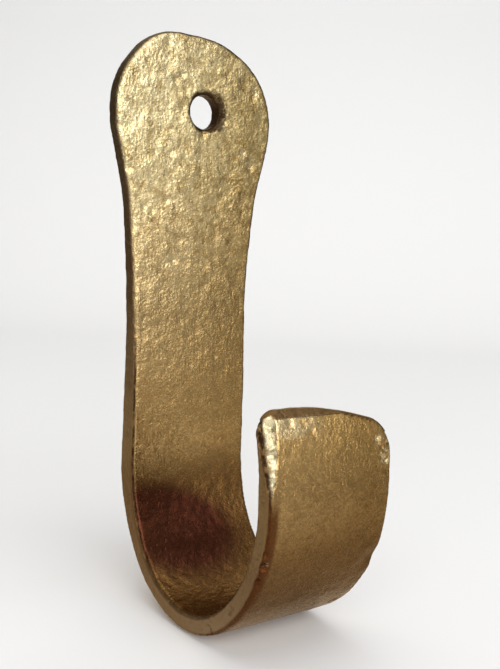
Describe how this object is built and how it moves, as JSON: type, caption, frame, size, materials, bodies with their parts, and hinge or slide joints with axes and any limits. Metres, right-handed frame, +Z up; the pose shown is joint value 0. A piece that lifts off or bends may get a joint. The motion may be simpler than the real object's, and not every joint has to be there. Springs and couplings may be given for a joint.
{
  "type": "coat hook",
  "caption": "Wall-mounted coat hook forged from flat bar: a spread, rounded head with a screw hole, a straight shank, and a round bend that ends in an upturned lip.",
  "frame": {"origin": "centre of the screw hole on the flat back face, which lies against the wall", "axes": "+Z up along the shank, +Y into the wall, so the lip reaches out towards -Y, and +X to the right as seen from the front"},
  "size_m": [0.0353, 0.0463, 0.1053],
  "materials": {
    "gold_paint": "satin antique gold paint over rough forged steel, with worn edges"
  },
  "bodies": {
    "root": {"hook": "gold_paint"}
  },
  "joints": []
}
